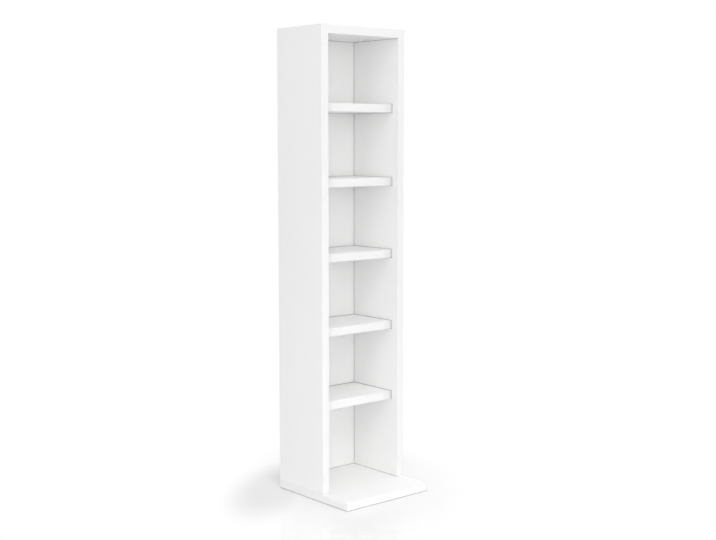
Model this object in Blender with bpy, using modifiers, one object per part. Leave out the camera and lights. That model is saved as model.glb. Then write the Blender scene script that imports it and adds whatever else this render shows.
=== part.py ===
"""An open shelf tower for compact discs. Two side panels stand on a square base plate that
reaches forward as a foot. A top, a thin back and five fixed shelves join them, held by
dowels, base screws, cam fittings and nails.

Metres, +Z up. The origin is the middle of the base plate's underside. The open front faces
-Y, and +X is to the right as seen from the front."""

import math

import bmesh
import bpy
from mathutils import Matrix, Vector

# Carcass
HEIGHT = 1.000
WIDTH = 0.230
CARCASS_DEPTH = 0.150
BASE_PROJECTION = 0.080
BOARD_THICKNESS = 0.018
BOTTOM_CLEAR = 0.174
SHELF_COUNT = 5
SHELF_SETBACK = 0.018
EDGE_RADIUS = 0.0008
EDGE_LIMIT_SHARE = 0.25

# Back panel, and the rebate that holds it
BACK_THICKNESS = 0.003
REBATE_DEPTH = 0.0045
REBATE_WIDTH = 0.008

# Clearances
SEAM = 0.0003
SHELF_CLEARANCE = 0.0005
HOLE_CLEARANCE = 0.0003
HOLE_END_CLEARANCE = 0.001
CUTTER_OVERRUN = 0.002

# Dowels, each sunk a little way into a board's face and the rest into a board's end
DOWEL_RADIUS = 0.004
DOWEL_LENGTH = 0.030
DOWEL_FACE_DEPTH = 0.011
DOWEL_CHAMFER = 0.001
SHELF_DOWEL_SHARES = {"front": 0.22, "back": 0.78}
BASE_DOWEL_SHARES = {"front": 0.12, "back": 0.88}
TOP_DOWEL_SHARES = {"front": 0.20, "back": 0.80}

# Countersunk screws up through the base plate; the thread is a plain shank of its mean size
SCREW_LENGTH = 0.050
SCREW_HEAD_RADIUS = 0.005
SCREW_HEAD_RIM = 0.0008
SCREW_SHANK_RADIUS = 0.0035
SCREW_THREAD_RADIUS = 0.0032
SCREW_TIP_LENGTH = 0.003
SCREW_TIP_RADIUS = 0.0016
SCREW_SOCKET_RADIUS = 0.0023
SCREW_SOCKET_DEPTH = 0.0025
SCREW_RECESS = 0.0005
BASE_SCREW_SHARES = {"front": 0.32, "back": 0.68}

# Cam fittings that draw the top to the sides, let into the top's underside
CAM_RADIUS = 0.0072
CAM_BACKSET = 0.024
CAM_ROOF = 0.0045
CAM_RECESS = 0.0002
CAM_SHELL = 0.002
CAM_CHAMFER = 0.0004
CAM_SOCKET_RADIUS = 0.003
CAM_SOCKET_DEPTH = 0.0025
CAM_SHARE = 0.5
BOLT_THREAD_RADIUS = 0.0034
BOLT_THREAD_LENGTH = 0.011
BOLT_SHANK_RADIUS = 0.003
BOLT_NECK_RADIUS = 0.0016
BOLT_HEAD_RADIUS = 0.0028
BOLT_HEAD_LENGTH = 0.003
COVER_RADIUS = 0.0085
COVER_THICKNESS = 0.001
COVER_CHAMFER = 0.0004
COVER_STUB_LENGTH = 0.002

# Nails that hold the back panel
NAIL_LENGTH = 0.020
NAIL_RADIUS = 0.0007
NAIL_HEAD_RADIUS = 0.002
NAIL_HEAD_THICKNESS = 0.0006
NAIL_TIP_LENGTH = 0.0015
NAIL_HEIGHT_SHARES = (0.07, 0.50, 0.93)
NAIL_WIDTH_SHARES = (0.25, 0.75)

# Sides of round pieces, segments of eased edges, and the least angle that stays sharp
DOWEL_SIDES = 12
SCREW_SIDES = 12
NAIL_SIDES = 8
CAM_SIDES = 24
HEX_SIDES = 6
EDGE_SEGMENTS = 2
SHARP_ANGLE = math.radians(40)
WELD_DISTANCE = 0.00001

# Places that follow from the sizes
SIDES = {"left": -1, "right": 1}
OUTER_X = WIDTH / 2
INNER_X = OUTER_X - BOARD_THICKNESS
SIDE_CENTRE_X = OUTER_X - BOARD_THICKNESS / 2
BASE_FRONT_Y = -(CARCASS_DEPTH + BASE_PROJECTION) / 2
BACK_Y = -BASE_FRONT_Y
FRONT_Y = BACK_Y - CARCASS_DEPTH
SHOULDER_Y = BACK_Y - REBATE_DEPTH
BACK_PANEL_Y = SHOULDER_Y + SEAM
BACK_PANEL_REAR_Y = BACK_PANEL_Y + BACK_THICKNESS
SHELF_FRONT_Y = FRONT_Y + SHELF_SETBACK
SHELF_BACK_Y = BACK_PANEL_Y - SHELF_CLEARANCE
SIDE_FOOT_Z = BOARD_THICKNESS + SEAM
TOP_UNDERSIDE_Z = HEIGHT - BOARD_THICKNESS
TOP_CENTRE_Z = HEIGHT - BOARD_THICKNESS / 2
SHELF_PITCH = (TOP_UNDERSIDE_Z - BOARD_THICKNESS - BOTTOM_CLEAR) / SHELF_COUNT
TOP_END_X = INNER_X - SEAM
SHELF_END_X = INNER_X - SHELF_CLEARANCE
REBATE_TOP_Z = TOP_UNDERSIDE_Z + REBATE_WIDTH
BACK_PANEL_EDGE_X = INNER_X + REBATE_WIDTH - SEAM
BACK_PANEL_TOP_Z = REBATE_TOP_Z - SEAM
SCREW_SHANK_END = BOARD_THICKNESS - SCREW_RECESS
SCREW_CONE_HEIGHT = SCREW_HEAD_RADIUS - SCREW_SHANK_RADIUS
NAIL_X = INNER_X + REBATE_WIDTH / 2
NAIL_TOP_Z = TOP_UNDERSIDE_Z + REBATE_WIDTH / 2
NAIL_HEAD_Y = BACK_PANEL_REAR_Y + SEAM + NAIL_HEAD_THICKNESS
NAIL_HOLE_DEPTH = NAIL_LENGTH - (NAIL_HEAD_Y - SHOULDER_Y) + HOLE_END_CLEARANCE
CAM_X = TOP_END_X - CAM_BACKSET
CAM_BORE_DEPTH = BOARD_THICKNESS - CAM_ROOF
CAM_HEIGHT = CAM_BORE_DEPTH - CAM_RECESS - HOLE_CLEARANCE

UP = Vector((0, 0, 1))
FORWARD = Vector((0, -1, 0))


def between(low, high, share):
    return low + (high - low) * share


def carcass_y(share):
    return between(FRONT_Y, BACK_Y, share)


def shelf_dowel_y(share):
    return between(SHELF_FRONT_Y, SHELF_BACK_Y, share)


def shelf_underside(number):
    """Shelves are numbered from 1, the lowest."""
    return BOARD_THICKNESS + BOTTOM_CLEAR + (number - 1) * SHELF_PITCH


def clear_scene():
    for thing in list(bpy.data.objects):
        bpy.data.objects.remove(thing, do_unlink=True)


def new_collection(name):
    collection = bpy.data.collections.new(name)
    bpy.context.scene.collection.children.link(collection)
    return collection


def new_material(name, colour, roughness, metallic):
    material = bpy.data.materials.new(name)
    material.use_nodes = True
    shader = material.node_tree.nodes["Principled BSDF"]
    shader.inputs["Base Color"].default_value = (*colour, 1)
    shader.inputs["Roughness"].default_value = roughness
    shader.inputs["Metallic"].default_value = metallic
    return material


clear_scene()
PARTS = new_collection("cd_shelf")
CUTTERS = new_collection("cutters")
ROOT = bpy.data.objects.new("cd_shelf_origin", None)
PARTS.objects.link(ROOT)

WHITE_LACQUER = new_material("white_lacquer", (0.90, 0.90, 0.90), 0.30, 0)
BACK_WHITE = new_material("back_white", (0.86, 0.86, 0.86), 0.45, 0)
BEECH = new_material("beech", (0.62, 0.43, 0.26), 0.60, 0)
ZINC_PLATE = new_material("zinc_plate", (0.70, 0.70, 0.68), 0.35, 1)
ZINC_CAST = new_material("zinc_cast", (0.55, 0.55, 0.56), 0.50, 1)
WHITE_PLASTIC = new_material("white_plastic", (0.88, 0.88, 0.88), 0.40, 0)


def new_object(name, mesh, place, collection):
    thing = bpy.data.objects.new(name, mesh)
    thing.matrix_world = place
    collection.objects.link(thing)
    return thing


def aimed(point, direction):
    """A transform that sets local +Z along the direction, with its origin at the point."""
    return Matrix.Translation(point) @ UP.rotation_difference(direction).to_matrix().to_4x4()


def mesh_from(name, form):
    mesh = bpy.data.meshes.new(name)
    form.to_mesh(mesh)
    form.free()
    return mesh


def as_part(thing, material):
    """Gives a piece its material and hangs it on the object's origin."""
    if not thing.data.materials:
        thing.data.materials.append(material)
    thing.parent = ROOT
    return thing


def as_cutter(thing):
    thing.hide_render = True
    thing.display_type = "WIRE"
    return thing


def box(name, low, high, collection):
    """A box between two corners, with its origin at its middle."""
    low, high = Vector(low), Vector(high)
    form = bmesh.new()
    bmesh.ops.create_cube(form, size=1)
    bmesh.ops.scale(form, vec=high - low, verts=form.verts)
    return new_object(name, mesh_from(name, form), Matrix.Translation((low + high) / 2), collection)


def board(name, low, high, material):
    """A board with its edges eased, by no more than a share of its thickness."""
    piece = box(name, low, high, PARTS)
    ease = piece.modifiers.new("eased_edges", "BEVEL")
    ease.width = min(EDGE_RADIUS, EDGE_LIMIT_SHARE * min(piece.dimensions))
    ease.segments = EDGE_SEGMENTS
    return as_part(piece, material)


def cut(piece, cutter):
    boolean = piece.modifiers.new(cutter.name, "BOOLEAN")
    boolean.operation = "DIFFERENCE"
    boolean.solver = "EXACT"
    boolean.object = as_cutter(cutter)


def rebate(piece, name, low, high):
    cut(piece, box(name, low, high, CUTTERS))


def drill(piece, name, holes, sides):
    """Cuts round holes that don't meet each other. Each is a mouth on the surface, the
    direction in which it is drilled, a radius and a depth."""
    form = bmesh.new()
    for mouth, direction, radius, depth in holes:
        middle = Vector(mouth) + direction * (depth - CUTTER_OVERRUN) / 2
        bmesh.ops.create_cone(
            form,
            cap_ends=True,
            segments=sides,
            radius1=radius,
            radius2=radius,
            depth=depth + CUTTER_OVERRUN,
            matrix=aimed(middle, direction),
        )
    cut(piece, new_object(name, mesh_from(name, form), Matrix.Identity(4), CUTTERS))


def turned(name, profile, sides, collection):
    """A profile of (radius, height) points, from the top down its outer side, turned round Z."""
    form = bmesh.new()
    points = [form.verts.new((radius, 0, height)) for radius, height in profile]
    for upper, lower in zip(points, points[1:]):
        form.edges.new((upper, lower))
    piece = new_object(name, mesh_from(name, form), Matrix.Identity(4), collection)
    screw = piece.modifiers.new("turned", "SCREW")
    screw.steps = sides
    screw.render_steps = sides
    screw.use_merge_vertices = True
    screw.merge_threshold = WELD_DISTANCE
    return piece


def pattern_of(piece):
    """The finished mesh of a piece that is made once and used for each of its copies, smooth
    except along its edges. The piece itself is removed."""
    graph = bpy.context.evaluated_depsgraph_get()
    mesh = bpy.data.meshes.new_from_object(piece.evaluated_get(graph))
    mesh.name = piece.name
    mesh.shade_smooth()
    mesh.set_sharp_from_angle(angle=SHARP_ANGLE)
    bpy.data.objects.remove(piece, do_unlink=True)
    return mesh


def put(name, mesh, point, direction, material):
    return as_part(new_object(name, mesh, aimed(point, direction), PARTS), material)


def dowel_pattern():
    return pattern_of(
        turned(
            "dowel_pattern",
            (
                (0, DOWEL_LENGTH),
                (DOWEL_RADIUS - DOWEL_CHAMFER, DOWEL_LENGTH),
                (DOWEL_RADIUS, DOWEL_LENGTH - DOWEL_CHAMFER),
                (DOWEL_RADIUS, DOWEL_CHAMFER),
                (DOWEL_RADIUS - DOWEL_CHAMFER, 0),
                (0, 0),
            ),
            DOWEL_SIDES,
            PARTS,
        )
    )


DOWEL = dowel_pattern()


def dowel_joint(name, faced, face_point, direction, ended):
    """One dowel, and the blind hole that each of its two boards has for it. The direction
    points out of the board whose face it enters, into the end of the other."""
    radius = DOWEL_RADIUS + HOLE_CLEARANCE
    face_point = Vector(face_point)
    faced.append((face_point, -direction, radius, DOWEL_FACE_DEPTH + HOLE_END_CLEARANCE))
    ended.append(
        (face_point, direction, radius, DOWEL_LENGTH - DOWEL_FACE_DEPTH + HOLE_END_CLEARANCE)
    )
    put(name, DOWEL, face_point - direction * DOWEL_FACE_DEPTH, direction, BEECH)


def screw_pattern():
    thread_end = SCREW_LENGTH - SCREW_TIP_LENGTH
    piece = turned(
        "screw_pattern",
        (
            (0, SCREW_LENGTH),
            (SCREW_TIP_RADIUS, SCREW_LENGTH),
            (SCREW_THREAD_RADIUS, thread_end),
            (SCREW_THREAD_RADIUS, SCREW_SHANK_END),
            (SCREW_SHANK_RADIUS, SCREW_SHANK_END),
            (SCREW_SHANK_RADIUS, SCREW_HEAD_RIM + SCREW_CONE_HEIGHT),
            (SCREW_HEAD_RADIUS, SCREW_HEAD_RIM),
            (SCREW_HEAD_RADIUS, 0),
            (0, 0),
        ),
        SCREW_SIDES,
        PARTS,
    )
    socket = ((0, 0, 0), UP, SCREW_SOCKET_RADIUS, SCREW_SOCKET_DEPTH)
    drill(piece, "screw_socket", [socket], HEX_SIDES)
    return pattern_of(piece)


def base_screw_hole(name, x, y):
    """The countersunk hole through the base plate, as a turned cutter."""
    bore = SCREW_SHANK_RADIUS + HOLE_CLEARANCE
    mouth = SCREW_HEAD_RADIUS + HOLE_CLEARANCE
    rim = SCREW_RECESS + SCREW_HEAD_RIM
    cutter = turned(
        name,
        (
            (0, BOARD_THICKNESS + CUTTER_OVERRUN),
            (bore, BOARD_THICKNESS + CUTTER_OVERRUN),
            (bore, rim + SCREW_CONE_HEIGHT),
            (mouth, rim),
            (mouth, -CUTTER_OVERRUN),
            (0, -CUTTER_OVERRUN),
        ),
        SCREW_SIDES,
        CUTTERS,
    )
    cutter.location = (x, y, 0)
    return cutter


def nail_pattern():
    return pattern_of(
        turned(
            "nail_pattern",
            (
                (0, NAIL_LENGTH),
                (NAIL_RADIUS, NAIL_LENGTH - NAIL_TIP_LENGTH),
                (NAIL_RADIUS, NAIL_HEAD_THICKNESS),
                (NAIL_HEAD_RADIUS, NAIL_HEAD_THICKNESS),
                (NAIL_HEAD_RADIUS, 0),
                (0, 0),
            ),
            NAIL_SIDES,
            PARTS,
        )
    )


def cam_pattern():
    """The cam as it is when locked, with its bolt coming in from -X. Its wide mouth faces +X,
    and the bolt's neck passes the narrow slot in its shell."""
    piece = turned(
        "cam_pattern",
        (
            (0, CAM_HEIGHT),
            (CAM_RADIUS - CAM_CHAMFER, CAM_HEIGHT),
            (CAM_RADIUS, CAM_HEIGHT - CAM_CHAMFER),
            (CAM_RADIUS, CAM_CHAMFER),
            (CAM_RADIUS - CAM_CHAMFER, 0),
            (0, 0),
        ),
        CAM_SIDES,
        PARTS,
    )
    axis_z = BOARD_THICKNESS / 2 - CAM_RECESS
    backwards = Vector((-1, 0, 0))
    cavity_depth = CAM_RADIUS * 2 - CAM_SHELL
    cavity = ((CAM_RADIUS, 0, axis_z), backwards, BOLT_HEAD_RADIUS + HOLE_CLEARANCE, cavity_depth)
    slot = ((-CAM_RADIUS, 0, axis_z), -backwards, BOLT_NECK_RADIUS + HOLE_CLEARANCE, CAM_RADIUS)
    socket = ((0, 0, 0), UP, CAM_SOCKET_RADIUS, CAM_SOCKET_DEPTH)
    drill(piece, "cam_cavity", [cavity], DOWEL_SIDES)
    drill(piece, "cam_slot", [slot], DOWEL_SIDES)
    drill(piece, "cam_socket", [socket], HEX_SIDES)
    return pattern_of(piece)


def bolt_pattern():
    """The bolt starts at its thread's end, deep in the side panel."""
    cam_centre = BOLT_THREAD_LENGTH + SEAM + CAM_BACKSET
    shank_end = cam_centre - CAM_RADIUS - HOLE_CLEARANCE
    head_start = cam_centre - CAM_RADIUS + CAM_SHELL + HOLE_CLEARANCE
    return pattern_of(
        turned(
            "bolt_pattern",
            (
                (0, head_start + BOLT_HEAD_LENGTH),
                (BOLT_HEAD_RADIUS, head_start + BOLT_HEAD_LENGTH),
                (BOLT_HEAD_RADIUS, head_start),
                (BOLT_NECK_RADIUS, head_start),
                (BOLT_NECK_RADIUS, shank_end),
                (BOLT_SHANK_RADIUS, shank_end),
                (BOLT_SHANK_RADIUS, BOLT_THREAD_LENGTH),
                (BOLT_THREAD_RADIUS, BOLT_THREAD_LENGTH),
                (BOLT_THREAD_RADIUS, 0),
                (0, 0),
            ),
            DOWEL_SIDES,
            PARTS,
        )
    )


def cover_pattern():
    """A flat cap with a stub that plugs into the cam's socket."""
    stub_radius = CAM_SOCKET_RADIUS * math.cos(math.pi / HEX_SIDES) - HOLE_CLEARANCE
    return pattern_of(
        turned(
            "cover_pattern",
            (
                (0, COVER_THICKNESS + COVER_STUB_LENGTH),
                (stub_radius, COVER_THICKNESS + COVER_STUB_LENGTH),
                (stub_radius, COVER_THICKNESS),
                (COVER_RADIUS, COVER_THICKNESS),
                (COVER_RADIUS, COVER_CHAMFER),
                (COVER_RADIUS - COVER_CHAMFER, 0),
                (0, 0),
            ),
            CAM_SIDES,
            PARTS,
        )
    )


def side_panels():
    panels = {}
    for side, sign in SIDES.items():
        outer, inner = sorted((sign * OUTER_X, sign * INNER_X))
        low = (outer, FRONT_Y, SIDE_FOOT_Z)
        high = (inner, BACK_Y, HEIGHT)
        panel = board(f"side_panel_{side}", low, high, WHITE_LACQUER)
        near, far = sorted((sign * (INNER_X - CUTTER_OVERRUN), sign * (INNER_X + REBATE_WIDTH)))
        rebate(
            panel,
            f"rebate_{side}",
            (near, SHOULDER_Y, SIDE_FOOT_Z - CUTTER_OVERRUN),
            (far, BACK_Y + CUTTER_OVERRUN, REBATE_TOP_Z),
        )
        panels[side] = panel
    return panels


def top_panel():
    panel = board(
        "top_panel", (-TOP_END_X, FRONT_Y, TOP_UNDERSIDE_Z), (TOP_END_X, BACK_Y, HEIGHT), WHITE_LACQUER
    )
    reach = TOP_END_X + CUTTER_OVERRUN
    rebate(
        panel,
        "rebate_top",
        (-reach, SHOULDER_Y, TOP_UNDERSIDE_Z - CUTTER_OVERRUN),
        (reach, BACK_Y + CUTTER_OVERRUN, REBATE_TOP_Z),
    )
    return panel


def base_plate():
    return board(
        "base_plate",
        (-OUTER_X, BASE_FRONT_Y, 0),
        (OUTER_X, BACK_Y, BOARD_THICKNESS),
        WHITE_LACQUER,
    )


def shelf(number):
    underside = shelf_underside(number)
    return board(
        f"shelf_{number}",
        (-SHELF_END_X, SHELF_FRONT_Y, underside),
        (SHELF_END_X, SHELF_BACK_Y, underside + BOARD_THICKNESS),
        WHITE_LACQUER,
    )


def back_panel():
    return board(
        "back_panel",
        (-BACK_PANEL_EDGE_X, BACK_PANEL_Y, SIDE_FOOT_Z),
        (BACK_PANEL_EDGE_X, BACK_PANEL_REAR_Y, BACK_PANEL_TOP_Z),
        BACK_WHITE,
    )


def shelf_joints(number, panel_holes):
    """The shelf with a pair of dowels in each end."""
    holes = []
    height = shelf_underside(number) + BOARD_THICKNESS / 2
    for side, sign in SIDES.items():
        inward = Vector((-sign, 0, 0))
        for row, share in SHELF_DOWEL_SHARES.items():
            place = (sign * INNER_X, shelf_dowel_y(share), height)
            name = f"shelf_{number}_dowel_{side}_{row}"
            dowel_joint(name, panel_holes[side], place, inward, holes)
    drill(shelf(number), f"shelf_{number}_dowel_holes", holes, DOWEL_SIDES)


def base_joints(panel_holes, pilot_holes):
    """The base plate with two dowels and two screws up into each side panel."""
    plate = base_plate()
    mesh = screw_pattern()
    holes = []
    pilot_depth = SCREW_LENGTH + SCREW_RECESS - SIDE_FOOT_Z + HOLE_END_CLEARANCE
    for side, sign in SIDES.items():
        x = sign * SIDE_CENTRE_X
        for row, share in BASE_DOWEL_SHARES.items():
            place = (x, carcass_y(share), BOARD_THICKNESS)
            dowel_joint(f"base_dowel_{side}_{row}", holes, place, UP, panel_holes[side])
        for row, share in BASE_SCREW_SHARES.items():
            y = carcass_y(share)
            cut(plate, base_screw_hole(f"base_screw_hole_{side}_{row}", x, y))
            put(f"base_screw_{side}_{row}", mesh, (x, y, SCREW_RECESS), UP, ZINC_PLATE)
            pilot_holes[side].append(
                ((x, y, SIDE_FOOT_Z), UP, SCREW_THREAD_RADIUS + HOLE_CLEARANCE, pilot_depth)
            )
    drill(plate, "base_dowel_holes", holes, DOWEL_SIDES)


def top_joints(panel, panel_holes, bolt_holes):
    """The top with two dowels, and a bolt and its cam, at each end."""
    cam, bolt, cover = cam_pattern(), bolt_pattern(), cover_pattern()
    end_holes = []
    cam_holes = []
    y = carcass_y(CAM_SHARE)
    cam_z = TOP_UNDERSIDE_Z + CAM_RECESS
    cover_z = TOP_UNDERSIDE_Z - SEAM - COVER_THICKNESS
    for side, sign in SIDES.items():
        inward = Vector((-sign, 0, 0))
        for row, share in TOP_DOWEL_SHARES.items():
            place = (sign * INNER_X, carcass_y(share), TOP_CENTRE_Z)
            dowel_joint(f"top_dowel_{side}_{row}", panel_holes[side], place, inward, end_holes)
        face = Vector((sign * INNER_X, y, TOP_CENTRE_Z))
        bolt_depth = BOLT_THREAD_LENGTH + HOLE_END_CLEARANCE
        bolt_holes[side].append((face, -inward, BOLT_THREAD_RADIUS + HOLE_CLEARANCE, bolt_depth))
        end_holes.append((face, inward, BOLT_SHANK_RADIUS + HOLE_CLEARANCE, SEAM + CAM_BACKSET))
        put(f"cam_bolt_{side}", bolt, face - inward * BOLT_THREAD_LENGTH, inward, ZINC_PLATE)
        mouth = (sign * CAM_X, y, TOP_UNDERSIDE_Z)
        cam_holes.append((mouth, UP, CAM_RADIUS + HOLE_CLEARANCE, CAM_BORE_DEPTH))
        lock = put(f"cam_lock_{side}", cam, (sign * CAM_X, y, cam_z), UP, ZINC_CAST)
        lock.rotation_euler.z = math.pi * (sign > 0)
        put(f"cam_cover_{side}", cover, (sign * CAM_X, y, cover_z), UP, WHITE_PLASTIC)
    drill(panel, "cam_bores", cam_holes, CAM_SIDES)
    drill(panel, "top_end_holes", end_holes, DOWEL_SIDES)


def back_nails(panels, top):
    """Nails through the back panel into the rebates of the sides and of the top."""
    mesh = nail_pattern()
    back = back_panel()
    radius = NAIL_RADIUS + HOLE_CLEARANCE
    through = []

    def nail(name, x, z, holes):
        put(name, mesh, (x, NAIL_HEAD_Y, z), FORWARD, ZINC_PLATE)
        holes.append(((x, SHOULDER_Y, z), FORWARD, radius, NAIL_HOLE_DEPTH))
        through.append(
            ((x, BACK_PANEL_REAR_Y, z), FORWARD, radius, BACK_THICKNESS + CUTTER_OVERRUN)
        )

    for side, sign in SIDES.items():
        holes = []
        for number, share in enumerate(NAIL_HEIGHT_SHARES, 1):
            height = between(SIDE_FOOT_Z, BACK_PANEL_TOP_Z, share)
            nail(f"back_nail_{side}_{number}", sign * NAIL_X, height, holes)
        drill(panels[side], f"nail_holes_{side}", holes, NAIL_SIDES)
    holes = []
    for number, share in enumerate(NAIL_WIDTH_SHARES, 1):
        nail(f"back_nail_top_{number}", between(-INNER_X, INNER_X, share), NAIL_TOP_Z, holes)
    drill(top, "nail_holes_top", holes, NAIL_SIDES)
    drill(back, "nail_holes_back", through, NAIL_SIDES)


def build():
    panels = side_panels()
    top = top_panel()
    dowel_holes = {side: [] for side in SIDES}
    screw_holes = {side: [] for side in SIDES}
    for number in range(1, SHELF_COUNT + 1):
        shelf_joints(number, dowel_holes)
    base_joints(dowel_holes, screw_holes)
    top_joints(top, dowel_holes, screw_holes)
    for side, panel in panels.items():
        drill(panel, f"dowel_holes_{side}", dowel_holes[side], DOWEL_SIDES)
        drill(panel, f"screw_holes_{side}", screw_holes[side], SCREW_SIDES)
    back_nails(panels, top)


build()
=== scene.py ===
"""A white open shelf tower for compact discs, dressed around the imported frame. Two sides stand on a
square base plate that reaches forward as a foot. A top, a thin back and five fixed shelves join
them, held by dowels, base screws, cam fittings and nails.

Metres, +Z up. The open front faces -Y, and +X is to the right as seen from the front."""

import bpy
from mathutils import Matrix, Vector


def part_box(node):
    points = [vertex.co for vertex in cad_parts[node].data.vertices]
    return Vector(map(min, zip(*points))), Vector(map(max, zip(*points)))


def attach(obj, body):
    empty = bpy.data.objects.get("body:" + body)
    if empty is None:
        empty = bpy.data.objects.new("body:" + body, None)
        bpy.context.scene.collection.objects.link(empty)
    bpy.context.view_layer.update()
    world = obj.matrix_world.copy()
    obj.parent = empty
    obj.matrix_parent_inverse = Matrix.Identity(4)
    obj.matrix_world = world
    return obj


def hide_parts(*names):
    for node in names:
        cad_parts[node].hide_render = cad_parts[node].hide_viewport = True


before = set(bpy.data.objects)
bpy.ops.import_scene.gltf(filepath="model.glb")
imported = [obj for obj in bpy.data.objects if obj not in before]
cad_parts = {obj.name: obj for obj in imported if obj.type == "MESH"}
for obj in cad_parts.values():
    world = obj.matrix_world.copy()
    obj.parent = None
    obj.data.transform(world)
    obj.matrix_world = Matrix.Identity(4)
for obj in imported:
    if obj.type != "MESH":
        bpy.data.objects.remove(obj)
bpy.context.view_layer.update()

import math
from functools import reduce

import bmesh
import bpy
from mathutils import Matrix, Vector

SIDES = {"left": -1, "right": 1}
ROWS = ("front", "back")
SHELVES = (1, 2, 3, 4, 5)
SIDE_NAILS = {side: [f"back_nail_{side}_{number}" for number in (1, 2, 3)] for side in SIDES}
TOP_NAILS = ("back_nail_top_1", "back_nail_top_2")
UP = Vector((0, 0, 1))
WHOLE_TURN = 2 * math.pi

# Camera, from the edges of the tower in the photograph
CAMERA_PLACE = Vector((-1.6623, -1.9482, 0.7671))
CAMERA_YAW = 0.71038
CAMERA_PITCH = -0.10935
CAMERA_LENS = 59.985
SENSOR_WIDTH = 36
NEAREST_SEEN = 0.05
FURTHEST_SEEN = 60

# Edges
BOARD_EASE = 0.0008
SHELF_EASE = 0.0018
FOOT_EASE = 0.0009
INNER_EASE = 0.0003
SHOULDER_EASE = 0.0010
BACK_EASE = 0.0004
EASE_STEPS = 4
INNER_STEPS = 2
BACK_STEPS = 3
SAME_PLACE = 0.00001
TIGHT = 0.00002
SHARP_ANGLE = math.radians(50)

# Greys, as a share of full white and how yellow they are, from the darkest to the palest
BOARD_GREYS = ((0.945, 0.006), (0.962, 0))
EDGING_GREYS = ((0.880, 0), (0.897, 0))
BASE_EDGING_GREYS = ((0.908, 0), (0.925, 0))
BACK_GREYS = ((0.940, 0.006), (0.960, 0))
REAR_GREYS = ((0.70, 0.03), (0.80, 0.015))
COVER_GREYS = ((0.845, 0.012), (0.875, 0.004))
RUBBED_GREY = (0.87, 0.01)
BAND_JOINT_GREY = (0.52, 0.03)
SHADOW_GREY = (0.22, 0)

# Colours of the bare materials
CHIP_DARK = (0.30, 0.19, 0.10, 1)
CHIP_PALE = (0.62, 0.46, 0.28, 1)
CHIP_DUST = (0.72, 0.58, 0.40, 1)
BEECH_RING = (0.66, 0.45, 0.27, 1)
BEECH_PALE = (0.78, 0.58, 0.38, 1)
BEECH_GRAIN = (0.52, 0.33, 0.19, 1)
BEECH_FLECK = (0.34, 0.20, 0.11, 1)
ZINC_BLUE = (0.66, 0.70, 0.76, 1)
ZINC_STRAW = (0.78, 0.75, 0.66, 1)
ZINC_SCUFF = (0.46, 0.46, 0.47, 1)
CAST_DARK = (0.42, 0.42, 0.44, 1)
CAST_PALE = (0.60, 0.60, 0.61, 1)
LACQUER_IOR = 1.5
PLASTIC_IOR = 1.46

# Lines and shades in the boards' finish: rubbed edges and the banding's hairline joint, and painted
# shade lines along the inner joints, the floor and the foot of the sides.
# A painted shade at a shelf's end starts and is full at two distances from that end, and darkens by a
# share.
RUB_WIDTH = 0.0022
PAINT_DEPTH = 0.001
BAND_THICKNESS = 0.0008
BAND_LINE = 0.00007
JOINT_SHADE_WIDTH = 0.0011
JOINT_SHADE_SHARE = 0.64
FLOOR_SHADE_WIDTH = 0.0020
FLOOR_SHADE_SHARE = 0.72
STANDING_SHADE_WIDTH = 0.0020
STANDING_SHADE_SHARE = 0.22
END_SHADES = ((0.030, 0.012, 0.13), (0.009, 0.002, 0.26))

# Holes and rebates
OVERRUN = 0.002
HOLE_ROOM = 0.0003
HOLE_END_ROOM = 0.001
HOLE_SIDES = 24

# Dowels
DOWEL_SIDES = 32
DOWEL_CHAMFER = 0.001
DOWEL_ROUNDING = 0.3
DOWEL_FLUTE = 0.93

# Base screws: radii, and heights above the underside of the head
FITTING_SIDES = 48
SCREW_TIP = 0.0009
SCREW_CORE = 0.0026
SCREW_SHANK = 0.0034
SCREW_CREST = 0.0035
SCREW_EDGE = 0.00025
SCREW_RIM_TOP = 0.0008
SCREW_CONE_TOP = 0.0024
SCREW_SHANK_END = 0.0175
SCREW_CORE_START = 0.0185
THREAD_START = 0.0200
THREAD_PITCH = 0.003
THREAD_RUNOUT = 0.006
THREAD_ROOT_DEPTH = 0.0004
THREAD_ROOT_SHARE = 0.28
THREAD_STEPS = 24
SCREW_POINT = 0.004
SCREW_BLUNT = 0.0004
SOCKET_RADIUS = 0.0023
SOCKET_DEPTH = 0.0025
SEAT_CONE_TOP = 0.0023
SEAT_FLARE = 0.0006
SEAT_FLARE_TOP = 0.0003

# Cam covers. A rim's points lie so far in from its edge, at such a height.
COVER_STUB = 0.0022
COVER_THICKNESS = 0.001
COVER_RIM = (
    (0, 0.001),
    (0, 0.00045),
    (0.00012, 0.00018),
    (0.00045, 0),
    (0.0012, 0),
    (0.0016, 0.00015),
)
COVER_DISH = 0.0002

# Nails
NAIL_SIDES = 20
NAIL_SHANK = 0.0014
NAIL_POINT = 0.0018
NAIL_NECK = 0.0007
NAIL_RIM = ((0.0003, 0.0006), (0, 0.0005), (0, 0.00032))
NAIL_DOME = (0.75, 0.0001)

# Studio. A pool is an oval of floor that shows the tower's shadow.
DIRECT_RAYS = ("Camera", "Glossy", "Transmission")
WORLD_FILL = 0.50
FLOOR_HALF = 14
FLOOR_PALE = 0.862
FLOOR_POLISH = 0.04
FLOOR_IOR = 1.5
LEFT_POOL = {"middle": (-0.128, 0.120), "turn": 43, "reach": (0.291, 0.115), "full": 0.27}
RIGHT_POOL = {"middle": (0.032, 0.047), "turn": 57, "reach": (0.425, 0.275), "full": 0.06}

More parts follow.
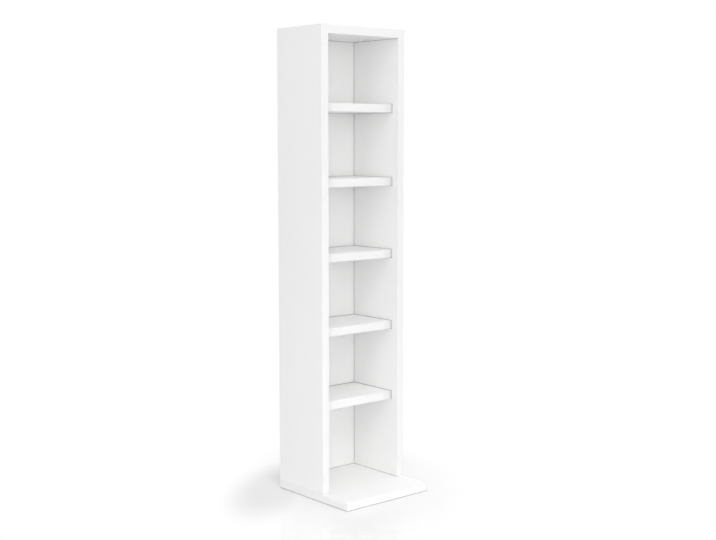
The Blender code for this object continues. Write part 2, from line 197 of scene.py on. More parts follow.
# Lamps: name, turn, rise, height aimed at, distance from there, size, watts and spread
LAMPS = (
    ("key_lamp", -24, 31, 0.45, 4.0, 2.4, 20.5, 180),
    ("left_lamp", -45, 48, 0.45, 4.0, 2.1, 26.4, 180),
    ("level_lamp", -32, 4, 0.45, 4.5, 1.9, 44.4, 180),
    ("low_lamp", -64, 0, 0.25, 3.0, 0.45, 3.6, 180),
    ("base_lamp", -22, 52, 0.0, 2.0, 0.5, 0.13, 22),
    ("high_lamp", 80, 58, 0.45, 2.6, 1.4, 14.5, 180),
    ("rear_lamp", 160, 3, 0.45, 4.5, 1.9, 48, 180),
)


# The places that the frame gives

base_low, base_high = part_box("base_plate")
left_low, left_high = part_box("side_panel_left")
top_low, top_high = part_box("top_panel")
back_low, back_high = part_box("back_panel")
shelf_low, shelf_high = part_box("shelf_1")
OUTER_X = base_high.x
INNER_X = -left_high.x
FRONT_Y = left_low.y
BACK_Y = left_high.y
BASE_TOP_Z = base_high.z
HEIGHT = left_high.z
TOP_UNDERSIDE_Z = top_low.z
BACK_FACE_Y = back_low.y
SHELF_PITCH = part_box("shelf_2")[0].z - shelf_low.z
SHELF_MIDDLE_Z = (shelf_low.z + shelf_high.z) / 2
SHELF_HALF = (shelf_high.z - shelf_low.z) / 2
SHOULDER_Y = back_low.y - HOLE_ROOM
REBATE_X = back_high.x + HOLE_ROOM
REBATE_TOP_Z = back_high.z + HOLE_ROOM


# Finishes


class Shade:
    """A value or a colour on a surface. Arithmetic on values adds Math nodes to its finish."""

    def __init__(self, finish, socket):
        self.finish = finish
        self.socket = socket

    def math(self, operation, *terms):
        settings = {"operation": operation}
        return self.finish.add("ShaderNodeMath", settings, dict(enumerate(terms)))

    def __add__(self, other):
        return self.math("ADD", self, other)

    def __radd__(self, other):
        return self.math("ADD", other, self)

    def __sub__(self, other):
        return self.math("SUBTRACT", self, other)

    def __rsub__(self, other):
        return self.math("SUBTRACT", other, self)

    def __mul__(self, other):
        return self.math("MULTIPLY", self, other)

    def __rmul__(self, other):
        return self.math("MULTIPLY", other, self)

    def __abs__(self):
        return self.math("ABSOLUTE", self)

    def larger(self, other):
        return self.math("MAXIMUM", self, other)

    def smaller(self, other):
        return self.math("MINIMUM", self, other)

    def nearest(self, pitch):
        """The way to the nearest whole number of pitches."""
        return abs(self.math("WRAP", self, pitch / 2, -pitch / 2))

    def ramp(self, start, end):
        """Rises smoothly from 0 at the start to 1 at the end. The start may be the higher."""
        settings = {"interpolation_type": "SMOOTHSTEP"}
        sockets = {"Value": self, "From Min": start, "From Max": end}
        return self.finish.add("ShaderNodeMapRange", settings, sockets)


class Finish:
    """The nodes of a material or of the world."""

    def __init__(self, owner):
        owner.use_nodes = True
        self.owner = owner
        self.tree = owner.node_tree
        self.tree.nodes.clear()

    def add(self, kind, settings=None, inputs=None, output=0):
        """One node: its settings first, then the values or links of its sockets."""
        made = self.tree.nodes.new(kind)
        for name, value in (settings or {}).items():
            setattr(made, name, value)
        for name, value in (inputs or {}).items():
            if isinstance(value, Shade):
                self.tree.links.new(value.socket, made.inputs[name])
            else:
                made.inputs[name].default_value = value
        return Shade(self, made.outputs[output]) if made.outputs else None

    def place(self):
        return self.add("ShaderNodeTexCoord", output="Object")

    def axes(self):
        place = self.place()
        return [self.add("ShaderNodeSeparateXYZ", None, {0: place}, output=axis) for axis in "XYZ"]

    def noise(self, scale, detail=2, stretch=(1, 1, 1), shift=(0, 0, 0), roughness=0.5):
        mapping = {"Vector": self.place(), "Scale": stretch, "Location": shift}
        place = self.add("ShaderNodeMapping", None, mapping)
        sockets = {"Vector": place, "Scale": scale, "Detail": detail, "Roughness": roughness}
        return self.add("ShaderNodeTexNoise", None, sockets)

    def blend(self, share, first, second):
        """The first colour where the share is 0, and the second where it is 1."""
        settings = {"data_type": "RGBA"}
        return self.add("ShaderNodeMix", settings, {0: share, 6: first, 7: second}, output=2)

    def between(self, share, greys):
        """The darker grey where the share is 0, and the paler where it is 1."""
        dark, pale = greys
        return self.blend(share, grey(*dark), grey(*pale))

    def bump(self, height, strength, distance):
        sockets = {"Height": height, "Strength": strength, "Distance": distance}
        return self.add("ShaderNodeBump", None, sockets)

    def show(self, shader, output="ShaderNodeOutputMaterial"):
        self.add(output, None, {"Surface": shader})
        return self.owner

    def surface(self, sockets):
        return self.show(self.add("ShaderNodeBsdfPrincipled", None, sockets))


def new_finish(name):
    return Finish(bpy.data.materials.new(name))


def grey(level, warmth=0.0):
    """A colour at a level of brightness, a little yellow where the warmth is above 0."""
    return (level, level * (1 - warmth / 3), level * (1 - warmth), 1)


def painted_joint_shade(axes):
    """1 in the painted shade line of the inner joints, where boards meet inside the tower: the
    upright corners, the base, the top, and every shelf's two sides and front ends. It joins the
    distances to the planes of the joints, the larger of two for a line and the smaller for either of
    two."""
    beside = abs(abs(axes[0]) - INNER_X)
    behind = abs(axes[1] - BACK_FACE_Y)
    under_shelf = (axes[2] - shelf_low.z).nearest(SHELF_PITCH)
    over_shelf = (axes[2] - shelf_high.z).nearest(SHELF_PITCH)
    below_shelves = axes[2].ramp(shelf_low.z - JOINT_SHADE_WIDTH, shelf_low.z - 2 * JOINT_SHADE_WIDTH)
    past_shelves = axes[1].ramp(shelf_low.y, shelf_low.y - JOINT_SHADE_WIDTH)
    shelf = under_shelf.smaller(over_shelf) + below_shelves + past_shelves
    ends = abs(axes[2] - BASE_TOP_Z).smaller(abs(axes[2] - TOP_UNDERSIDE_Z))
    level = shelf.smaller(ends)
    away = beside.larger(behind).smaller(beside.larger(level)).smaller(behind.larger(level))
    inside = axes[1].ramp(FRONT_Y, FRONT_Y + JOINT_SHADE_WIDTH)
    between = abs(axes[0]).ramp(INNER_X + 2 * JOINT_SHADE_WIDTH, INNER_X + JOINT_SHADE_WIDTH)
    under_top = axes[2].ramp(TOP_UNDERSIDE_Z + 2 * JOINT_SHADE_WIDTH, TOP_UNDERSIDE_Z + JOINT_SHADE_WIDTH)
    level_with_shelf = (axes[2] - SHELF_MIDDLE_Z).nearest(SHELF_PITCH)
    off_front = abs(axes[1] - shelf_low.y).larger(level_with_shelf - SHELF_HALF)
    away = away.smaller(beside.larger(off_front) + below_shelves)
    return away.ramp(JOINT_SHADE_WIDTH, JOINT_SHADE_WIDTH / 2) * inside * between * under_top


def board_white(name, low, high, banded, edging=EDGING_GREYS, butted=False, standing=False):
    """White melamine with a fine pearl, faint handling marks and rubbed edges. The ends of the
    banded axes (0 to 2) carry edge banding, a shade greyer, behind a hairline joint. Painted shade
    lines run along the inner joints and along the floor. The front of a butted board darkens towards
    the sides with painted shade, and that of a standing one with a painted shade line at the base."""
    finish = new_finish(name)
    axes = finish.axes()
    halves = [(high[axis] - low[axis]) / 2 for axis in range(3)]
    outs = [abs(axes[axis] - (low[axis] + high[axis]) / 2) for axis in range(3)]
    edges = [out.ramp(half - RUB_WIDTH, half) for out, half in zip(outs, halves)]
    corners = [edges[0] * edges[1], edges[1] * edges[2], edges[0] * edges[2]]
    edge = reduce(Shade.larger, corners)
    seams = [halves[axis] - BAND_THICKNESS for axis in banded]
    lines = [
        abs(outs[axis] - seam).ramp(BAND_LINE, BAND_LINE / 3) for axis, seam in zip(banded, seams)
    ]
    bands = [outs[axis].ramp(seam, seam + BAND_LINE) for axis, seam in zip(banded, seams)]
    joint = reduce(Shade.larger, lines)
    band = reduce(Shade.larger, bands)
    broad = finish.noise(scale=6, detail=3)
    cloud = finish.noise(scale=38, detail=4, shift=(3, 1, 2))
    pearl = finish.noise(scale=1100)
    rub = edge * finish.noise(scale=160, detail=3, shift=(5, 0, 1)).ramp(0.52, 0.70)
    colour = finish.between(broad * 0.6 + cloud * 0.4, BOARD_GREYS)
    colour = finish.blend(band, colour, finish.between(cloud, edging))
    colour = finish.blend(rub * 0.5, colour, grey(*RUBBED_GREY))
    colour = finish.blend(joint * 0.55, colour, grey(*BAND_JOINT_GREY))
    # Painted contact shadow along the bottom edge, where the board meets the floor.
    floor_shade = axes[2].ramp(FLOOR_SHADE_WIDTH, FLOOR_SHADE_WIDTH / 2)
    # Painted shade: a dark line along the inner joints, joined with the painted contact shadow at the
    # floor.
    dark = (painted_joint_shade(axes) * JOINT_SHADE_SHARE).larger(floor_shade * FLOOR_SHADE_SHARE)
    in_front = axes[1].ramp(low.y + BOARD_EASE, low.y)
    if butted:
        # Painted shade on the shelf's front, darker towards its ends beside the sides.
        end_shade = sum(
            outs[0].ramp(halves[0] - start, halves[0] - full) * share
            for start, full, share in END_SHADES
        )
        dark = dark.larger(end_shade * in_front)
    if standing:
        # Painted shade line on the front edge, just above the base.
        base_shade = axes[2].ramp(BASE_TOP_Z + STANDING_SHADE_WIDTH, BASE_TOP_Z)
        dark = dark.larger(base_shade * in_front * STANDING_SHADE_SHARE)
    # All the painted shade goes into the colour here, as SHADOW_GREY.
    colour = finish.blend(dark, colour, grey(*SHADOW_GREY))
    roughness = 0.27 + cloud * 0.10 + broad.ramp(0.55, 0.75) * 0.05 - rub * 0.08
    height = pearl * 0.6 + cloud * 0.4 - joint * 2
    return finish.surface(
        {
            "Base Color": colour,
            "Roughness": roughness,
            "Normal": finish.bump(height, strength=0.12, distance=0.00006),
            "IOR": LACQUER_IOR,
        }
    )


def back_white():
    """Thin hardboard: painted white in front, and a flatter white with a fine fibre behind."""
    finish = new_finish("back_panel_white")
    axes = finish.axes()
    low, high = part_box("back_panel")
    rear = axes[1].ramp(low.y + PAINT_DEPTH, high.y - PAINT_DEPTH)
    broad = finish.noise(scale=5, detail=3)
    cloud = finish.noise(scale=60, detail=4, shift=(1, 4, 2))
    fibre = finish.noise(scale=420, detail=4, stretch=(1, 1, 0.25), roughness=0.65)
    height = fibre * (0.25 + rear * 0.9)
    front = finish.between(broad * 0.5 + cloud * 0.5, BACK_GREYS)
    # Painted shade line along the inner joints of the back.
    front = finish.blend(painted_joint_shade(axes) * JOINT_SHADE_SHARE, front, grey(*SHADOW_GREY))
    behind = finish.between(fibre * 0.7 + broad * 0.3, REAR_GREYS)
    return finish.surface(
        {
            "Base Color": finish.blend(rear, front, behind),
            "Roughness": 0.36 + cloud * 0.10 + rear * 0.18,
            "Normal": finish.bump(height, strength=0.25, distance=0.00012),
            "IOR": LACQUER_IOR,
        }
    )


def raw_chipboard():
    """The pressed chips that show where a board is bored or rebated."""
    finish = new_finish("raw_chipboard")
    sockets = {"Vector": finish.place(), "Scale": 520, "Randomness": 1}
    chip = finish.add("ShaderNodeTexVoronoi", None, sockets, output="Color")
    tone = finish.add("ShaderNodeSeparateColor", None, {0: chip})
    dust = finish.noise(scale=1600, detail=3)
    height = tone * 0.6 + dust * 0.4
    colour = finish.blend(tone, CHIP_DARK, CHIP_PALE)
    colour = finish.blend(dust * 0.35, colour, CHIP_DUST)
    return finish.surface(
        {
            "Base Color": colour,
            "Roughness": 0.82 + dust * 0.12,
            "Normal": finish.bump(height, strength=0.7, distance=0.0004),
        }
    )


def beech(name, along):
    """Dowel rod with its grain along one axis (0 to 2), and short dark flecks."""
    finish = new_finish(name)
    stretch = [1.0, 1.0, 1.0]
    stretch[along] = 0.06
    grain = finish.noise(scale=900, detail=3, stretch=stretch)
    rings = finish.noise(scale=260, stretch=stretch, shift=(2, 2, 2))
    fleck = finish.noise(scale=2600, detail=1, stretch=stretch, shift=(7, 1, 4))
    height = grain * 0.6 + rings * 0.4
    colour = finish.blend(rings, BEECH_RING, BEECH_PALE)
    colour = finish.blend(grain.ramp(0.45, 0.70) * 0.4, colour, BEECH_GRAIN)
    colour = finish.blend(fleck.ramp(0.62, 0.72) * 0.6, colour, BEECH_FLECK)
    return finish.surface(
        {
            "Base Color": colour,
            "Roughness": 0.62 + grain * 0.15,
            "Normal": finish.bump(height, strength=0.35, distance=0.0002),
        }
    )


def plated_zinc():
    """Bright zinc plate, with a faint blue and straw tint and fine scuffs."""
    finish = new_finish("plated_zinc")
    tint = finish.noise(scale=240)
    scuff = finish.noise(scale=2400, detail=3, stretch=(1, 0.3, 1))
    colour = finish.blend(tint.ramp(0.35, 0.65), ZINC_BLUE, ZINC_STRAW)
    colour = finish.blend(scuff.ramp(0.60, 0.75) * 0.5, colour, ZINC_SCUFF)
    return finish.surface(
        {
            "Base Color": colour,
            "Metallic": 1.0,
            "Roughness": 0.24 + scuff * 0.22,
            "Normal": finish.bump(scuff, strength=0.15, distance=0.00005),
        }
    )


def cast_zinc():
    """Die-cast zinc, dull and slightly grained."""
    finish = new_finish("cast_zinc")
    grain = finish.noise(scale=1800, detail=3)
    cloud = finish.noise(scale=300, shift=(1, 2, 3))
    return finish.surface(
        {
            "Base Color": finish.blend(cloud, CAST_DARK, CAST_PALE),
            "Metallic": 1.0,
            "Roughness": 0.42 + grain * 0.2,
            "Normal": finish.bump(grain, strength=0.3, distance=0.0001),
        }
    )


def moulded_plastic():
    """White plastic with the fine grain of its mould."""
    finish = new_finish("white_cover_plastic")
    grain = finish.noise(scale=3800)
    cloud = finish.noise(scale=130, shift=(3, 3, 1))
    return finish.surface(
        {
            "Base Color": finish.between(cloud, COVER_GREYS),
            "Roughness": 0.34 + cloud * 0.08,
            "Normal": finish.bump(grain, strength=0.2, distance=0.00004),
            "IOR": PLASTIC_IOR,
        }
    )


RAW = raw_chipboard()
BACK_WHITE = back_white()
BEECH_ACROSS = beech("beech_across", 0)
BEECH_UPRIGHT = beech("beech_upright", 2)
ZINC = plated_zinc()
CAST_ZINC = cast_zinc()
PLASTIC = moulded_plastic()


# Shaping


def block(low, high):
    """A box between two corners."""
    form = bmesh.new()
    bmesh.ops.create_cube(form, size=1)
    bmesh.ops.scale(form, vec=high - low, verts=form.verts)
    bmesh.ops.translate(form, vec=(low + high) / 2, verts=form.verts)
    return form


def split(form, axis, place):
    """Adds a row of edges round the form where it crosses a place on an axis."""
    point = Vector((0, 0, 0))
    normal = Vector((0, 0, 0))
    point[axis] = place
    normal[axis] = 1
    everything = [*form.verts, *form.edges, *form.faces]
    bmesh.ops.bisect_plane(form, geom=everything, dist=SAME_PLACE, plane_co=point, plane_no=normal)


def edges_at(form, x=None, y=None, z=None):
    """Edges that lie wholly at these places, each a number or a range."""

    def lies(point):
        for value, wanted in zip(point, (x, y, z)):
            if wanted is None:
                continue
            low, high = wanted if isinstance(wanted, tuple) else (wanted, wanted)
            if not low - SAME_PLACE <= value <= high + SAME_PLACE:
                return False
        return True

    return [edge for edge in form.edges if all(lies(vertex.co) for vertex in edge.verts)]


def ease(form, edges, width, steps=EASE_STEPS):
    """Rounds edges over a width."""
    bmesh.ops.bevel(
        form,
        geom=edges,
        offset=width,
        offset_type="OFFSET",
        segments=steps,
        profile=0.5,
        affect="EDGES",
        material=-1,
        clamp_overlap=True,
    )


def turned(profile, sides):
    """A closed turned form from a profile of (radius, height) points, about +Z."""
    form = bmesh.new()
    points = [form.verts.new((radius, 0, height)) for radius, height in profile]
    for first, second in zip(points, points[1:]):
        form.edges.new((first, second))
    bmesh.ops.spin(
        form,
        geom=[*form.verts, *form.edges],
        cent=(0, 0, 0),
        axis=UP,
        dvec=(0, 0, 0),
        angle=WHOLE_TURN,
        steps=sides,
        use_merge=True,
        use_duplicate=False,
    )
    bmesh.ops.remove_doubles(form, verts=form.verts, dist=SAME_PLACE)
    bmesh.ops.recalc_face_normals(form, faces=form.faces)
    return form


def aim(form, point, direction):
    """Sets the form's +Z along a direction and its origin at a point."""
    turn = UP.rotation_difference(Vector(direction)).to_matrix().to_4x4()
    bmesh.ops.transform(form, matrix=Matrix.Translation(point) @ turn, verts=form.verts)
    return form


def merged(forms):
    """One form made of several."""
    whole = bmesh.new()
    for form in forms:
        mesh = bpy.data.meshes.new("passing")
        form.to_mesh(mesh)
        form.free()
        whole.from_mesh(mesh)
        bpy.data.meshes.remove(mesh)
    return whole


def loose_object(form):
    """A passing object with a form's mesh, for a modifier to work on."""
    mesh = bpy.data.meshes.new("passing")
    form.to_mesh(mesh)
    form.free()
    thing = bpy.data.objects.new("passing", mesh)
    bpy.context.scene.collection.objects.link(thing)
    return thing


def carved(form, cutter, raw=1):
    """The form with the cutter taken away. The cut faces take the material at index raw, so both
    objects have two material slots while they are cut."""
    for face in cutter.faces:
        face.material_index = raw
    solid = loose_object(form)
    tool = loose_object(cutter)
    for thing in (solid, tool):
        for _ in range(2):
            thing.data.materials.append(RAW)
    boolean = solid.modifiers.new("carve", "BOOLEAN")
    boolean.operation = "DIFFERENCE"
    boolean.solver = "EXACT"
    boolean.object = tool
    result = bmesh.new()
    result.from_object(solid, bpy.context.evaluated_depsgraph_get())
    bmesh.ops.remove_doubles(result, verts=result.verts, dist=SAME_PLACE)
    for thing in (solid, tool):
        mesh = thing.data
        bpy.data.objects.remove(thing)
        bpy.data.meshes.remove(mesh)
    return result


def piece(name, form, materials, node):
    """Turns a form into a piece that stands for a CAD node and rides on the tower."""
    mesh = bpy.data.meshes.new(name)
    form.to_mesh(mesh)
    form.free()
    for material in materials:
        mesh.materials.append(material)
    mesh.shade_smooth()
    mesh.set_sharp_from_angle(angle=SHARP_ANGLE)
    made = bpy.data.objects.new(name, mesh)
    bpy.context.scene.collection.objects.link(made)
    shading = made.modifiers.new("flat_faces", "WEIGHTED_NORMAL")
    shading.keep_sharp = True
    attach(made, "root")
    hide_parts(node)


def rod(node):
    """The middle and size of a long node's box, and the number and direction of its long axis."""
    low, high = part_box(node)
    size = high - low
    along = max(range(3), key=lambda axis: size[axis])
    direction = Vector((0, 0, 0))
    direction[along] = 1
    return (low + high) / 2, size, along, direction


def bore(node, across=None):
    """The round hole that a dowel, bolt or nail lies in, a little longer and wider than it. The
    width of a nail's shank is given, as its box is as wide as its head."""
    middle, size, along, direction = rod(node)
    radius = (across or min(size)) / 2 + HOLE_ROOM
    form = bmesh.new()
    bmesh.ops.create_cone(
        form,
        cap_ends=True,
        segments=HOLE_SIDES,
        radius1=radius,
        radius2=radius,
        depth=size[along] + 2 * HOLE_END_ROOM,
    )
    return aim(form, middle, direction)


def bores(nodes, across=None):
    return [bore(node, across) for node in nodes]


# Boards


def side_board(side, sign):
    node = f"side_panel_{side}"
    low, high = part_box(node)
    low.z = BASE_TOP_Z + TIGHT
    outer = sign * OUTER_X
    inner = sign * INNER_X
    form = block(low, high)
    eased = [
        *edges_at(form, x=outer, y=FRONT_Y),
        *edges_at(form, x=outer, y=BACK_Y),
        *edges_at(form, x=outer, z=HEIGHT),
        *edges_at(form, y=FRONT_Y, z=HEIGHT),
        *edges_at(form, y=BACK_Y, z=HEIGHT),
        *edges_at(form, x=inner, z=low.z),
    ]
    ease(form, eased, BOARD_EASE)
    ease(form, edges_at(form, x=inner, y=FRONT_Y), INNER_EASE, INNER_STEPS)
    near = sign * (INNER_X - OVERRUN)
    far = sign * REBATE_X
    rebate_low = Vector((min(near, far), SHOULDER_Y, low.z - OVERRUN))
    rebate_high = Vector((max(near, far), BACK_Y + OVERRUN, REBATE_TOP_Z))
    form = carved(form, block(rebate_low, rebate_high), raw=0)
    ease(form, edges_at(form, x=inner, y=SHOULDER_Y), SHOULDER_EASE)
    fittings = [f"shelf_{number}_dowel_{side}_{row}" for number in SHELVES for row in ROWS]
    fittings += [f"base_dowel_{side}_{row}" for row in ROWS]
    fittings += [f"top_dowel_{side}_{row}" for row in ROWS]
    fittings += [f"base_screw_{side}_{row}" for row in ROWS]
    fittings += [f"cam_bolt_{side}"]
    form = carved(form, merged(bores(fittings) + bores(SIDE_NAILS[side], NAIL_SHANK)))
    white = board_white(f"{side}_side_white", low, high, (1, 2), standing=True)
    piece(f"{side}_side_board", form, [white, RAW], node)


def top_board():
    low, high = top_low.copy(), top_high.copy()
    low.x = -INNER_X + TIGHT
    high.x = INNER_X - TIGHT
    form = block(low, high)
    eased = [
        *edges_at(form, y=FRONT_Y, z=HEIGHT),
        *edges_at(form, y=FRONT_Y, z=low.z),
        *edges_at(form, y=BACK_Y, z=HEIGHT),
        *edges_at(form, x=low.x, z=low.z),
        *edges_at(form, x=high.x, z=low.z),
    ]
    ease(form, eased, BOARD_EASE)
    rebate_low = Vector((low.x - OVERRUN, SHOULDER_Y, low.z - OVERRUN))
    rebate_high = Vector((high.x + OVERRUN, BACK_Y + OVERRUN, REBATE_TOP_Z))
    form = carved(form, block(rebate_low, rebate_high), raw=0)
    ease(form, edges_at(form, y=SHOULDER_Y, z=low.z), SHOULDER_EASE)
    fittings = [f"top_dowel_{side}_{row}" for side in SIDES for row in ROWS]
    fittings += [f"cam_bolt_{side}" for side in SIDES]
    form = carved(form, merged(bores(fittings) + bores(TOP_NAILS, NAIL_SHANK)))
    white = board_white("top_white", low, high, (1,))
    piece("top_board", form, [white, RAW], "top_panel")


def base_board():
    low, high = base_low, base_high
    form = block(low, high)
    split(form, 1, FRONT_Y)
    foot = (low.y, FRONT_Y)
    exposed = [
        *edges_at(form, x=low.x, y=low.y),
        *edges_at(form, x=high.x, y=low.y),
        *edges_at(form, x=low.x, y=high.y),
        *edges_at(form, x=high.x, y=high.y),
        *edges_at(form, y=low.y, z=high.z),
        *edges_at(form, x=low.x, y=foot, z=high.z),
        *edges_at(form, x=high.x, y=foot, z=high.z),
    ]
    ease(form, exposed, BOARD_EASE)
    underneath = [
        edge
        for edge in form.edges
        if all(vertex.co.z < SAME_PLACE for vertex in edge.verts)
        and sum(abs(face.normal.z) > 0.5 for face in edge.link_faces) == 1
    ]
    ease(form, underneath, FOOT_EASE)
    dowel_holes = bores(f"base_dowel_{side}_{row}" for side in SIDES for row in ROWS)
    form = carved(form, merged(dowel_holes))
    form = carved(form, merged([screw_seat(side, row) for side in SIDES for row in ROWS]))
    white = board_white("base_white", low, high, (0, 1), BASE_EDGING_GREYS)
    piece("base_board", form, [white, RAW], "base_plate")


def screw_seat(side, row):
    """The countersunk hole up through the base plate."""
    low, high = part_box(f"base_screw_{side}_{row}")
    middle = (low + high) / 2
    rim = (high.x - low.x) / 2 + HOLE_ROOM
    shank = SCREW_CREST + HOLE_ROOM
    profile = (
        (0, BASE_TOP_Z + OVERRUN),
        (shank, BASE_TOP_Z + OVERRUN),
        (shank, low.z + SEAT_CONE_TOP),
        (rim, low.z + SCREW_RIM_TOP),
        (rim, SEAT_FLARE_TOP),
        (rim + SEAT_FLARE, -SEAT_FLARE_TOP),
        (rim + SEAT_FLARE, -OVERRUN),
        (0, -OVERRUN),
    )
    return aim(turned(profile, FITTING_SIDES), (middle.x, middle.y, 0), UP)


def shelf_board(number):
    node = f"shelf_{number}"
    low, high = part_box(node)
    form = block(low, high)
    ease(form, list(form.edges), SHELF_EASE)
    dowel_holes = bores(f"{node}_dowel_{side}_{row}" for side in SIDES for row in ROWS)
    form = carved(form, merged(dowel_holes))
    white = board_white(f"{node}_white", low, high, (1,), butted=True)
    piece(f"{node}_board", form, [white, RAW], node)


def back_sheet():
    form = block(back_low, back_high)
    ease(form, list(form.edges), BACK_EASE, BACK_STEPS)
    nails = [*SIDE_NAILS["left"], *SIDE_NAILS["right"], *TOP_NAILS]
    form = carved(form, merged(bores(nails, NAIL_SHANK)))
    piece("back_sheet", form, [BACK_WHITE, RAW], "back_panel")


for side, sign in SIDES.items():
    side_board(side, sign)
top_board()
base_board()
for number in SHELVES:
    shelf_board(number)
back_sheet()


# Fittings


def fluted_dowel(node):
    """A dowel with rounded ends. Every second column of its side is pressed in to a flute."""
    middle, size, along, direction = rod(node)
    length = size[along]
    radius = min(size) / 2
    rounding = DOWEL_CHAMFER * DOWEL_ROUNDING
    profile = (
        (0, length),
        (radius - DOWEL_CHAMFER, length),
        (radius - rounding, length - rounding),
        (radius, length - DOWEL_CHAMFER),
        (radius, DOWEL_CHAMFER),
        (radius - rounding, rounding),
        (radius - DOWEL_CHAMFER, 0),
        (0, 0),
    )
    form = turned(profile, DOWEL_SIDES)
    for vertex in form.verts:
        column = round(math.atan2(vertex.co.y, vertex.co.x) / WHOLE_TURN * DOWEL_SIDES)
        if column % 2 and vertex.co.xy.length > radius - 2 * rounding:
            vertex.co.xy *= DOWEL_FLUTE
    start = middle - direction * length / 2
    grain = BEECH_UPRIGHT if along == 2 else BEECH_ACROSS
    piece(f"fluted_{node}", aim(form, start, direction), [grain], node)


def hexagon(radius, depth):
    """A six-sided cutter that reaches from just below the origin up to a depth."""
    form = bmesh.new()
    place = Matrix.Translation((0, 0, (depth - OVERRUN) / 2))
    bmesh.ops.create_cone(
        form,
        cap_ends=True,
        segments=6,
        radius1=radius,
        radius2=radius,
        depth=depth + OVERRUN,
        matrix=place,
    )
    return form


def base_screw(side, row):
    """A countersunk screw, head down, with a six-sided socket and a wound thread."""
    node = f"base_screw_{side}_{row}"
    low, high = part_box(node)
    middle = (low + high) / 2
    length = high.z - low.z
    head = (high.x - low.x) / 2
    profile = (
        (0, length),
        (SCREW_TIP, length - SCREW_BLUNT),
        (SCREW_CORE, length - SCREW_POINT),
        (SCREW_CORE, SCREW_CORE_START),
        (SCREW_SHANK, SCREW_SHANK_END),
        (SCREW_SHANK, SCREW_CONE_TOP),
        (head, SCREW_RIM_TOP),
        (head, SCREW_EDGE),
        (head - SCREW_EDGE, 0),
        (0, 0),
    )
    form = turned(profile, FITTING_SIDES)
    form = carved(form, hexagon(SOCKET_RADIUS, SOCKET_DEPTH), raw=0)
    form = merged([form, screw_thread(length - THREAD_RUNOUT)])
    form = aim(form, (middle.x, middle.y, low.z), UP)
    piece(f"{node}_threaded", form, [ZINC], node)


def screw_thread(end):
    """A three-sided ridge wound round the screw's core up to a height."""
    turns = (end - THREAD_START) / THREAD_PITCH
    root = SCREW_CORE - THREAD_ROOT_DEPTH
    half_root = THREAD_PITCH * THREAD_ROOT_SHARE
    form = bmesh.new()
    corners = [
        form.verts.new((root, 0, THREAD_START - half_root)),
        form.verts.new((SCREW_CREST, 0, THREAD_START)),
        form.verts.new((root, 0, THREAD_START + half_root)),
    ]
    first = form.faces.new(corners)
    bmesh.ops.spin(
        form,
        geom=[first],
        cent=(0, 0, 0),
        axis=UP,
        dvec=(0, 0, THREAD_PITCH / THREAD_STEPS),
        angle=WHOLE_TURN * turns,
        steps=round(THREAD_STEPS * turns),
        use_merge=False,
        use_duplicate=False,
    )
    bmesh.ops.recalc_face_normals(form, faces=form.faces)
    return form


def cam_cover(side):
    """A flat cap with a softened rim and a shallow dish."""
    node = f"cam_cover_{side}"
    low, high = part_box(node)
    middle = (low + high) / 2
    radius = (high.x - low.x) / 2
    profile = [
        (0, high.z - low.z),
        (COVER_STUB, high.z - low.z),
        (COVER_STUB, COVER_THICKNESS),
        *[(radius - inset, height) for inset, height in COVER_RIM],
        (0, COVER_DISH),
    ]
    form = aim(turned(profile, FITTING_SIDES), (middle.x, middle.y, low.z), UP)
    piece(f"{side}_cam_cap", form, [PLASTIC], node)


def back_nail(node):
    """A small nail with a low domed head, seen from behind."""
    low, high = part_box(node)
    middle = (low + high) / 2
    length = high.y - low.y
    head = (high.x - low.x) / 2
    dome_share, dome_height = NAIL_DOME
    profile = [
        (0, length),
        (NAIL_SHANK / 2, length - NAIL_POINT),
        (NAIL_SHANK / 2, NAIL_NECK),
        *[(head - inset, height) for inset, height in NAIL_RIM],
        (head * dome_share, dome_height),
        (0, 0),
    ]
    form = aim(turned(profile, NAIL_SIDES), (middle.x, high.y, middle.z), (0, -1, 0))
    piece(f"{node}_domed", form, [ZINC], node)


for joined in [*(f"shelf_{number}" for number in SHELVES), "base", "top"]:
    for side in SIDES:
        for row in ROWS:
            fluted_dowel(f"{joined}_dowel_{side}_{row}")
for side in SIDES:
    for row in ROWS:
        base_screw(side, row)
    cam_cover(side)
    for nail in SIDE_NAILS[side]:
        back_nail(nail)
for nail in TOP_NAILS:
    back_nail(nail)
for side in SIDES:
    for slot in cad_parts[f"cam_lock_{side}"].material_slots:
        slot.material = CAST_ZINC
    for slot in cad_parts[f"cam_bolt_{side}"].material_slots:
        slot.material = ZINC


# Studio


def seen_directly(finish):
    """1 for the camera's own rays and for those that a reflection or clear material sends on."""
    kinds = [finish.add("ShaderNodeLightPath", output=f"Is {kind} Ray") for kind in DIRECT_RAYS]
    return reduce(Shade.larger, kinds)


def shadow_pool(finish, middle, turn, reach, full):
    """1 within the full share of an oval round the tower's foot, and 0 outside the oval. Its turn
    is in degrees, and its reach is half its length and half its width."""
    sockets = {
        "Vector": finish.place(),
        "Location": (*middle, 0),
        "Rotation": (0, 0, math.radians(turn)),
        "Scale": (*reach, 1),
    }
    place = finish.add("ShaderNodeMapping", {"vector_type": "TEXTURE"}, sockets)
    out = finish.add("ShaderNodeVectorMath", {"operation": "LENGTH"}, {0: place}, output="Value")
    return out.ramp(1, full)


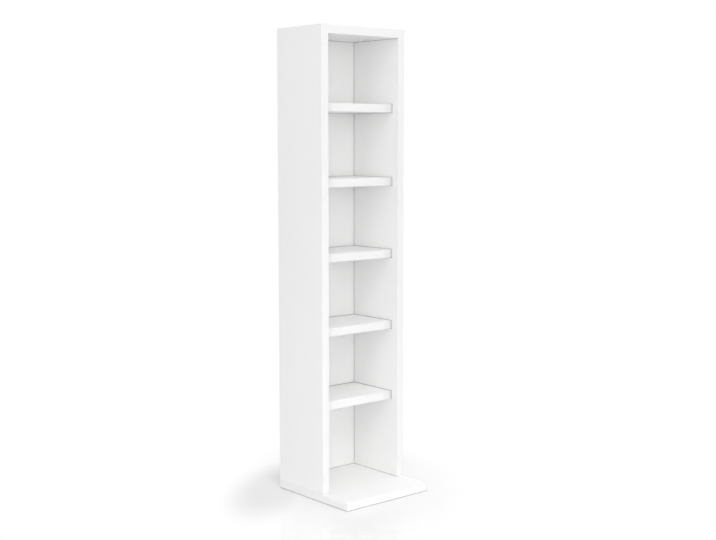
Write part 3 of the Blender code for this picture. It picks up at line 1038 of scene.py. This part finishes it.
def studio_floor():
    """A pale polished floor. Close to the tower it shows its shadow, and further out it runs
    into the white background. Its polish mirrors the tower faintly everywhere."""
    form = bmesh.new()
    bmesh.ops.create_grid(form, x_segments=1, y_segments=1, size=FLOOR_HALF)
    mesh = bpy.data.meshes.new("studio_floor")
    form.to_mesh(mesh)
    form.free()
    floor = bpy.data.objects.new("studio_floor", mesh)
    bpy.context.scene.collection.objects.link(floor)
    finish = new_finish("pale_floor")
    near = shadow_pool(finish, **LEFT_POOL).larger(shadow_pool(finish, **RIGHT_POOL))
    direct = seen_directly(finish)
    lit = finish.add("ShaderNodeBsdfDiffuse", None, {"Color": grey(FLOOR_PALE)})
    white = finish.add("ShaderNodeEmission", None, {"Color": grey(1), "Strength": 1})
    shares = {0: direct * (1 - near), 1: lit, 2: white}
    ground = finish.add("ShaderNodeMixShader", None, shares)
    sheen = {"Color": grey(1), "Roughness": FLOOR_POLISH}
    polish = finish.add("ShaderNodeBsdfGlossy", None, sheen)
    mirror = finish.add("ShaderNodeFresnel", None, {"IOR": FLOOR_IOR}) * direct
    whole = finish.add("ShaderNodeMixShader", None, {0: mirror, 1: ground, 2: polish})
    mesh.materials.append(finish.show(whole))


def studio_world():
    """Even white all round, and plain white where the camera or a reflection looks past."""
    world = bpy.data.worlds.new("studio")
    bpy.context.scene.world = world
    finish = Finish(world)
    direct = seen_directly(finish)
    strength = WORLD_FILL + direct * (1 - WORLD_FILL)
    shade = finish.add("ShaderNodeBackground", None, {"Color": grey(1), "Strength": strength})
    finish.show(shade, "ShaderNodeOutputWorld")


def soft_lamp(name, turn, rise, height, reach, size, watts, spread):
    """A round soft lamp aimed at a height on the tower's axis. Its angles in degrees are its turn
    from the front towards the right, its rise above that height, and how wide it spreads."""
    flat = math.cos(math.radians(rise))
    side, ahead = math.sin(math.radians(turn)), -math.cos(math.radians(turn))
    direction = Vector((side * flat, ahead * flat, math.sin(math.radians(rise))))
    data = bpy.data.lights.new(name, "AREA")
    data.shape = "DISK"
    data.size = size
    data.energy = watts
    data.spread = math.radians(spread)
    lamp = bpy.data.objects.new(name, data)
    lamp.location = height * UP + reach * direction
    lamp.rotation_mode = "QUATERNION"
    lamp.rotation_quaternion = (-direction).to_track_quat("-Z", "Y")
    lamp.visible_camera = False
    lamp.visible_glossy = False
    bpy.context.scene.collection.objects.link(lamp)


def studio_camera():
    data = bpy.data.cameras.new("studio_camera")
    data.lens = CAMERA_LENS
    data.sensor_width = SENSOR_WIDTH
    data.clip_start = NEAREST_SEEN
    data.clip_end = FURTHEST_SEEN
    camera = bpy.data.objects.new("studio_camera", data)
    camera.location = CAMERA_PLACE
    flat = math.cos(CAMERA_PITCH)
    side, ahead = math.sin(CAMERA_YAW), math.cos(CAMERA_YAW)
    look = Vector((side * flat, ahead * flat, math.sin(CAMERA_PITCH)))
    camera.rotation_mode = "QUATERNION"
    camera.rotation_quaternion = look.to_track_quat("-Z", "Y")
    bpy.context.scene.collection.objects.link(camera)
    bpy.context.scene.camera = camera


studio_floor()
studio_world()
for lamp in LAMPS:
    soft_lamp(*lamp)
studio_camera()
bpy.context.scene.view_settings.view_transform = "Standard"
